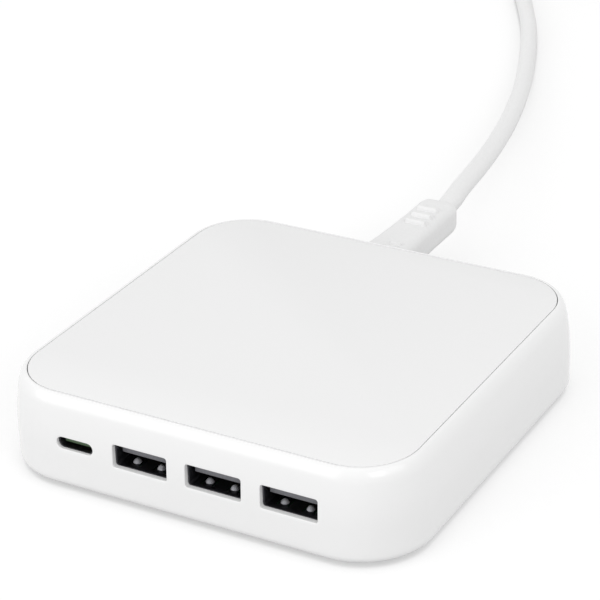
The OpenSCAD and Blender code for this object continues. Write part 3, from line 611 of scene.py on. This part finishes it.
def cylinder_rings(x, y, radius, z_low, z_high):
    """Rings of an upright cylinder."""
    turns = [2 * math.pi * k / CIRCLE_STEPS for k in range(CIRCLE_STEPS)]
    circle = [(x + radius * math.cos(turn), y + radius * math.sin(turn)) for turn in turns]
    return [[(px, py, z) for px, py in circle] for z in (z_low, z_high)]


# %% All the cutters
# The feet stand in shallow recesses, each a little wider than its foot
FOOT_INSET, FOOT_R, FOOT_PLAY, FOOT_RECESS = 13, 5.4, 0.1, 0.8
foot_at = HALF - FOOT_INSET
cutters = [mouth_cutter(place, USB_A_MOUTH, USB_A_POCKET, USB_A_LIP, -1) for place in USB_A_AT]
cutters.append(mouth_cutter(USB_C_AT, USB_C_MOUTH, USB_C_POCKET, USB_C_LIP, -1))
cutters.append(mouth_cutter(INLET_AT, INLET_MOUTH, INLET_MOUTH, WALL, 1))
for sx in (-1, 1):
    for sy in (-1, 1):
        cutters.append(cylinder_rings(sx * foot_at, sy * foot_at, FOOT_R + FOOT_PLAY,
                                      0, BASE_Z + FOOT_RECESS))
print("cutters:", len(cutters))

# %% Cut them in one pass
cutter_points = []
cutter_faces = []
for rings in cutters:
    first = len(cutter_points)
    cutter_points += [p for ring in rings for p in ring]
    cutter_faces += [tuple(first + k for k in face) for face in skin_over(rings)]
cutter = add_piece("mouth_cutter", cutter_points, cutter_faces, TUB_PLASTIC)
turn_outwards(cutter.data)
cut = tub.modifiers.new("mouths", "BOOLEAN")
cut.operation = "DIFFERENCE"
cut.solver = "EXACT"
cut.object = cutter
settle(tub)
bpy.data.objects.remove(cutter)
smooth(tub)
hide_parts("housing")
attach(tub, "root")
print("tub after cutting:", len(tub.data.polygons), "faces")

# %% [markdown]
# ## The plate in the top
#
# The plate drops into the rim and leaves a seam of 0.22 mm all round. Its edge has a tiny round, so
# that the seam reads as two edges with a dark line between them and not as a drawn stroke. The rib
# that locates it hangs underneath, inside the ledge.

# %% The plate with its rib
PLATE_IN = 3.22
PLATE_EDGE = 0.06
RIB_OUT, RIB_IN, RIB_DEPTH = 4.1, 5.3, 2.6
RIB_Z = SEAT_Z - RIB_DEPTH
plate_rows = [(RIB_IN, SEAT_Z), (RIB_IN, RIB_Z), (RIB_OUT, RIB_Z), (RIB_OUT, SEAT_Z),
              (PLATE_IN, SEAT_Z)]
plate_rows += [(PLATE_IN + PLATE_EDGE * (1 - math.cos(math.radians(a))),
                RIM_Z - PLATE_EDGE * (1 - math.sin(math.radians(a)))) for a in EDGE_ANGLES]
plate_rings = stack_of_squares(plate_rows)
plate = add_piece("top_plate", [p for ring in plate_rings for p in ring], skin_over(plate_rings),
                  PLATE_PLASTIC)
turn_outwards(plate.data)
smooth(plate)
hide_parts("top_cover")
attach(plate, "root")
print("plate:", len(plate.data.polygons), "faces")

# %% [markdown]
# ## Small hard pieces
#
# The sockets, their insulators, the feet and the pins already have their true shape in the
# engineering model, as loose flat triangles. A copy is merged, its flat areas are joined again and
# its edges get the small round that a stamped or moulded edge has. The domes of the lower springs
# in the USB-A sockets are also raised a little, and given a paler steel than the socket as a
# painted highlight.

# %% A finished copy of an engineering node
MERGE_M = 2e-6
FLAT_DEG = 1


def finished_copy(node, name, edge_mm, segments=2):
    """A merged and smoothed copy of a node, with its edges rounded by edge_mm."""
    mesh = frame["nodes"][node].data.copy()
    work = bmesh.new()
    work.from_mesh(mesh)
    bmesh.ops.remove_doubles(work, verts=work.verts, dist=MERGE_M)
    bmesh.ops.dissolve_limit(work, angle_limit=math.radians(FLAT_DEG), verts=work.verts,
                             edges=work.edges)
    work.to_mesh(mesh)
    work.free()
    piece = bpy.data.objects.new(name, mesh)
    bpy.context.scene.collection.objects.link(piece)
    if edge_mm:
        rounding = piece.modifiers.new("edges", "BEVEL")
        rounding.width = edge_mm * MM
        rounding.segments = segments
        rounding.limit_method = "ANGLE"
        rounding.angle_limit = math.radians(CREASE_DEG)
        rounding.use_clamp_overlap = True
        settle(piece)
    smooth(piece)
    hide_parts(node)
    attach(piece, "root")
    return piece


# %% The sockets, with raised springs that carry a painted highlight, and the other small pieces
SHEET_T, SPRING_X, SPRING_LIFT = 0.4, 3, 0.45
SHEET_TOP = USB_A_AT[0][1] - USB_A_POCKET[1] / 2 + SHEET_T
# What counts as a dome: half width across, least and greatest height over the sheet
DOME_FACES = (1, 0.02, 0.7)
DOME_CORNERS = (1.3, 0.02, 0.8)


def on_dome(place, socket_x, dome):
    """Whether a place, in millimetres, is on one of a socket's two lower spring domes."""
    across = abs(abs(place.x - socket_x) - SPRING_X)
    return across < dome[0] and dome[1] < place.z - SHEET_TOP < dome[2]


for number, (socket_x, _) in enumerate(USB_A_AT, 1):
    socket = finished_copy("usb_a_shell_%d" % number, "usb_a_socket_%d" % number, edge_mm=0.05)
    # The spring domes get a paler copy of the socket steel, a painted highlight where light catches
    # them
    socket.data.materials.append(SPRING_HIGHLIGHT_STEEL)
    for face in socket.data.polygons:
        if on_dome(face.center / MM, socket_x, DOME_FACES):
            face.material_index = 1
    for corner in socket.data.vertices:
        if on_dome(corner.co / MM, socket_x, DOME_CORNERS):
            corner.co.z += SPRING_LIFT * (corner.co.z / MM - SHEET_TOP) * MM
    finished_copy("usb_a_insulator_%d" % number, "usb_a_tongue_%d" % number, edge_mm=0.12)
finished_copy("usb_c_shell", "usb_c_socket", edge_mm=0.06)
finished_copy("usb_c_tongue", "usb_c_blade", edge_mm=0.06)
finished_copy("rubber_feet", "silicone_feet", edge_mm=0.15)
finished_copy("inlet_body", "inlet_moulding", edge_mm=0.15)
plug_pins = finished_copy("mains_plug_pins", "plug_pins", edge_mm=0.2, segments=3)
print("small pieces finished")

# %% [markdown]
# ## Contacts, by Geometry Nodes
#
# Every socket holds a row of equal strips of sprung bronze. Things that repeat are what Geometry
# Nodes are for: the mesh holds one point for each strip, and the tree puts a bar on each point.
# Changing one input then changes every strip.

# %% A tree that lays a bar on each point
def bars_on_points(name):
    """The tree, with the bars' size and their plating as its inputs."""
    tree = bpy.data.node_groups.new(name, "GeometryNodeTree")
    face = tree.interface
    face.new_socket("Geometry", in_out="INPUT", socket_type="NodeSocketGeometry")
    face.new_socket("Bar size", in_out="INPUT", socket_type="NodeSocketVector")
    face.new_socket("Plating", in_out="INPUT", socket_type="NodeSocketMaterial")
    face.new_socket("Geometry", in_out="OUTPUT", socket_type="NodeSocketGeometry")
    given = add_node(tree, "NodeGroupInput")
    bar = add_node(tree, "GeometryNodeMeshCube", {"Size": given.outputs["Bar size"]})
    on_points = add_node(tree, "GeometryNodeInstanceOnPoints", {
        "Points": given.outputs["Geometry"], "Instance": bar.outputs["Mesh"]})
    real = add_node(tree, "GeometryNodeRealizeInstances", {
        "Geometry": on_points.outputs["Instances"]})
    plated = add_node(tree, "GeometryNodeSetMaterial", {
        "Geometry": real.outputs["Geometry"], "Material": given.outputs["Plating"]})
    add_node(tree, "NodeGroupOutput", {"Geometry": plated.outputs["Geometry"]})
    return tree


BARS = bars_on_points("contact_bars")
print("nodes in the tree:", len(BARS.nodes))


# %% One row of contacts
def set_input(modifier, name, value):
    """Sets a tree's input by the identifier of the socket with this name."""
    for item in modifier.node_group.interface.items_tree:
        if item.item_type == "SOCKET" and item.in_out == "INPUT" and item.name == name:
            modifier[item.identifier] = value


def contact_row(name, node, points, size):
    """A row of contact strips that stands for one engineering node."""
    piece = add_piece(name, points, [], CONTACT_GOLD)
    bars = piece.modifiers.new("bars", "NODES")
    bars.node_group = BARS
    set_input(bars, "Bar size", [c * MM for c in size])
    set_input(bars, "Plating", CONTACT_GOLD)
    settle(piece)
    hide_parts(node)
    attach(piece, "root")


# %% The strips in the sockets
USB_A_STRIP_X, USB_A_STRIP_W = (-3.5, -1, 1, 3.5), 1
USB_C_STRIPS, USB_C_PITCH, USB_C_STRIP_W, USB_C_STRIP_T = 12, 0.5, 0.25, 0.1
low, high = (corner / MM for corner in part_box("usb_a_contacts"))
middle = (low + high) / 2
usb_a_points = [(x + dx, middle.y, middle.z) for x, _ in USB_A_AT for dx in USB_A_STRIP_X]
contact_row("usb_a_strips", "usb_a_contacts", usb_a_points,
            (USB_A_STRIP_W, high.y - low.y, high.z - low.z))
low, high = (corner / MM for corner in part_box("usb_c_contacts"))
middle = (low + high) / 2
usb_c_points = [(USB_C_AT[0] + (k - (USB_C_STRIPS - 1) / 2) * USB_C_PITCH, middle.y, z)
                for k in range(USB_C_STRIPS)
                for z in (low.z + USB_C_STRIP_T / 2, high.z - USB_C_STRIP_T / 2)]
contact_row("usb_c_strips", "usb_c_contacts", usb_c_points,
            (USB_C_STRIP_W, high.y - low.y, USB_C_STRIP_T))
print("strips:", len(usb_a_points), "and", len(usb_c_points))

# %% [markdown]
# ## The lead's connector
#
# The connector is soft PVC moulded round the cord's end. Its grip is a loft: a broad rounded block
# at the charger that narrows towards the cord, with three small bars across the top and bottom for
# the thumb. They are pushed up out of the same surface, as a mould does it, so they blend into it.
# The bars on the top have a fine groove at their foot, and two smaller ones mark the mould.

# %% The grip's shape along its length
SHOULDER_GAP = 0.2
SHOULDER_Y = HALF + SHOULDER_GAP
# Each station: place along the grip, half width, half height, corner radius
GRIP = [(0, 8.6, 5, 2.6), (3.6, 8.6, 5, 2.6), (8.5, 5.9, 4.5, 2.5), (12.6, 5.5, 4.4, 2.5),
        (20, 5.2, 4.3, 2.5), (27.4, 5.1, 4.2, 2.5), (36.6, 5.1, 4.2, 2.5), (38.2, 4.9, 4, 2.4),
        (38.7, 4.7, 3.8, 2.3), (39, 4.3, 3.4, 2.2)]
# Each raised bar: place along the grip, place and half length across it, half width, height
THUMB_BARS = [(24.3, 0.9, 2.9, 0.7, 0.6), (28.4, 0.5, 2.9, 0.7, 0.6), (32.4, 0.2, 2.9, 0.7, 0.6)]
MOULD_MARK = [(10.8, 2.1, 1.6, 0.4, 0.4), (8.4, 1.9, 2.0, 0.4, 0.4)]
GROOVE_R, GROOVE_DEPTH = 0.55, 1.1
BAR_FULLNESS = 0.7
# Bars rise only from the part of the section that is higher than this share of its half height
BARS_FROM = 0.6
GRIP_STEP, GRIP_SIDE_STEPS = 0.15, 36
print("grip:", GRIP[-1][0], "mm long, with", len(THUMB_BARS), "bars on each face")


# %% The surface between the stations, and the bars on it
def between(stations, along):
    """Half width, half height and corner radius at a distance along the stations."""
    for a, b in zip(stations, stations[1:]):
        if along <= b[0]:
            share = (along - a[0]) / (b[0] - a[0])
            return [a[k] + (b[k] - a[k]) * share for k in (1, 2, 3)]
    return list(stations[-1][1:])


def hump(x, along, bar, radius, height, shift=0.0):
    """Height of one long round-ended bar above the surface, at a place on it."""
    past_end = max(0.0, abs(x - bar[1]) - (bar[2] - radius))
    off = math.hypot(past_end, along - bar[0] - shift) / radius
    return height * max(0.0, 1 - off * off) ** BAR_FULLNESS


def raised(x, along, above):
    """The bars lift the surface, and the upper ones have a groove at their foot."""
    rise = 0.0
    for bar in THUMB_BARS + (MOULD_MARK if above else []):
        rise += hump(x, along, bar, bar[3], bar[4])
        if above:
            depth = GROOVE_DEPTH * bar[4] / THUMB_BARS[0][4]
            rise -= hump(x, along, bar, GROOVE_R, depth, -bar[3] - GROOVE_R)
    return rise


# %% A loft through stations
LOFT_CORNER_STEPS = 10
LOFT_CREASE_DEG = 40


def loft(name, stations, origin, step, material, bump=None, side_steps=20):
    """A closed skin over rounded rectangles that change from station to station."""
    rings = []
    for along in (step * k for k in range(round(stations[-1][0] / step) + 1)):
        half_w, half_h, radius = between(stations, along)
        ring = []
        for x, z in rounded_ring(half_w, half_h, radius, LOFT_CORNER_STEPS, side_steps):
            if bump and abs(z) > BARS_FROM * half_h:
                z += math.copysign(bump(x, along, z > 0), z)
            ring.append((origin[0] + x, origin[1] + along, origin[2] + z))
        rings.append(ring)
    piece = add_piece(name, [p for ring in rings for p in ring], skin_over(rings), material)
    turn_outwards(piece.data)
    smooth(piece, LOFT_CREASE_DEG)
    return piece


# %% Loft the grip
connector = loft("lead_connector_grip", GRIP, (INLET_AT[0], SHOULDER_Y, INLET_AT[1]), GRIP_STEP,
                 MOULDED_PVC, raised, GRIP_SIDE_STEPS)
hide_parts("lead_connector")
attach(connector, "root")
print("grip:", len(connector.data.polygons), "faces")

# %% [markdown]
# ## The mains plug and the strap
#
# The plug lies flat on the table. It is the same kind of loft as the grip: a broad block that
# swells round the pins and runs down to the cord in a long taper, which is its strain relief. It is
# modelled at the origin and then laid at the cord's end.

# %% The plug
# Stations as for the grip, from the pins to the cord
PLUG = [(0, 17.2, 6.5, 5.4), (0.8, 17.6, 6.85, 5.8), (12, 17.6, 6.85, 5.8), (20, 15, 6.7, 5.8),
        (28, 9.6, 6.2, 5.6), (33, 6.6, 5.6, 5.2), (36, 5.2, 5, 4.8), (56, 3.3, 3.3, 3.2)]
PLUG_AT = TAIL[-1]
PLUG_TURN = 20
PLUG_STEP = 0.5
plug = loft("mains_plug_body", PLUG, (0, -PLUG[-1][0], 0), PLUG_STEP, MOULDED_PVC)
plug.data.transform(Matrix.Translation(Vector(PLUG_AT) * MM)
                    @ Matrix.Rotation(math.radians(PLUG_TURN), 4, "Z"))
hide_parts("mains_plug")
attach(plug, "root")
print("plug:", len(plug.data.polygons), "faces")

# %% The strap round the coil, and the contacts inside the connector
strap = finished_copy("cord_tie", "coil_strap", edge_mm=0.35, segments=3)
lead_contacts = finished_copy("connector_contacts", "connector_sockets", edge_mm=0)
print("strap:", len(strap.data.polygons), "faces")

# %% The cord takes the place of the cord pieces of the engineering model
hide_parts("cord_run", "cord_coil", "cord_tail")
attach(mains_cord, "root")
print("cord leaves the connector at, mm:", RUN[0])

# %% [markdown]
# ## Floor, sky and lamps
#
# White on white needs care: the object must keep its own greys while the ground burns out to paper
# white. So the ground is a pale floor that also glows a little for the camera and for reflections,
# which lifts it to white but leaves the soft shadow. The glow dies away within a millimetre or so
# of what stands on the floor, and that leaves the dark line under the box. Lamps and sky light the
# object at a plain level. The broad soft box low in front is what the rolled rim reflects.

# %% Which rays show the ground as white
def seen_ray(tree):
    """1 for the rays that show the ground: from the camera, off a gloss and through glass."""
    path = add_node(tree, "ShaderNodeLightPath")
    either = add_node(tree, "ShaderNodeMath", {
        0: path.outputs["Is Camera Ray"], 1: path.outputs["Is Glossy Ray"]}, operation="MAXIMUM")
    any_of = add_node(tree, "ShaderNodeMath", {
        0: either.outputs[0], 1: path.outputs["Is Transmission Ray"]}, operation="MAXIMUM")
    return any_of.outputs[0]


# %% Floor
FLOOR_HALF_M = 3.0
floor = bpy.data.objects.new("studio_floor", bpy.data.meshes.new("studio_floor"))
floor_signs = ((-1, -1), (1, -1), (1, 1), (-1, 1))
floor.data.from_pydata([(sx * FLOOR_HALF_M, sy * FLOOR_HALF_M, 0) for sx, sy in floor_signs],
                       [], [(0, 1, 2, 3)])
bpy.context.scene.collection.objects.link(floor)
print("floor:", 2 * FLOOR_HALF_M, "m wide")

# %% Paper that glows
FLOOR_GLOW = 0.53
CONTACT_MM = 1.4
floor_material = bpy.data.materials.new("pale_paper")
floor_material.use_nodes = True
tree = floor_material.node_tree
tree.nodes.clear()
paper = add_node(tree, "ShaderNodeBsdfDiffuse", {"Color": srgb("#bcbcbc")})
open_sky = add_node(tree, "ShaderNodeAmbientOcclusion", {"Distance": CONTACT_MM * MM})
lit = add_node(tree, "ShaderNodeMath", {0: seen_ray(tree), 1: open_sky.outputs["AO"]},
               operation="MULTIPLY")
glow_level = add_node(tree, "ShaderNodeMath", {0: lit.outputs[0], 1: FLOOR_GLOW},
                      operation="MULTIPLY")
glow = add_node(tree, "ShaderNodeEmission", {
    "Color": srgb("#ffffff"), "Strength": glow_level.outputs[0]})
both = add_node(tree, "ShaderNodeAddShader", {0: paper.outputs[0], 1: glow.outputs[0]})
add_node(tree, "ShaderNodeOutputMaterial", {"Surface": both.outputs[0]})
floor.data.materials.append(floor_material)
print("glow:", FLOOR_GLOW, "of paper white")

# %% Sky
SKY_LEVEL = 0.81
world = bpy.data.worlds.new("studio_sky")
bpy.context.scene.world = world
world.use_nodes = True
tree = world.node_tree
tree.nodes.clear()
level = add_node(tree, "ShaderNodeMapRange", {
    "Value": seen_ray(tree), "To Min": SKY_LEVEL, "To Max": 1.0})
sky = add_node(tree, "ShaderNodeBackground", {
    "Color": srgb("#ffffff"), "Strength": level.outputs["Result"]})
add_node(tree, "ShaderNodeOutputWorld", {"Surface": sky.outputs[0]})
print("sky level:", SKY_LEVEL)


# %% Lamps
def soft_box(name, place, width, height, power):
    """An area lamp at a place, in metres and watts, that looks at the middle of the table."""
    lamp = bpy.data.lights.new(name, "AREA")
    lamp.shape = "RECTANGLE"
    lamp.size = width
    lamp.size_y = height
    lamp.energy = power
    holder = bpy.data.objects.new(name, lamp)
    bpy.context.scene.collection.objects.link(holder)
    holder.location = place
    holder.rotation_euler = (-Vector(place)).to_track_quat("-Z", "Y").to_euler()


soft_box("front_soft_box", (-0.917, -1.309, 0.55), width=1.6, height=1.12, power=9.0)
soft_box("right_soft_box", (1.3, -0.3, 0.8), width=1.0, height=1.0, power=3.0)
soft_box("corner_soft_box", (1.06, -0.87, 0.64), width=0.55, height=0.55, power=2.5)
bpy.context.scene.view_settings.view_transform = "Standard"
print("lamps:", [lamp.name for lamp in bpy.data.lights])
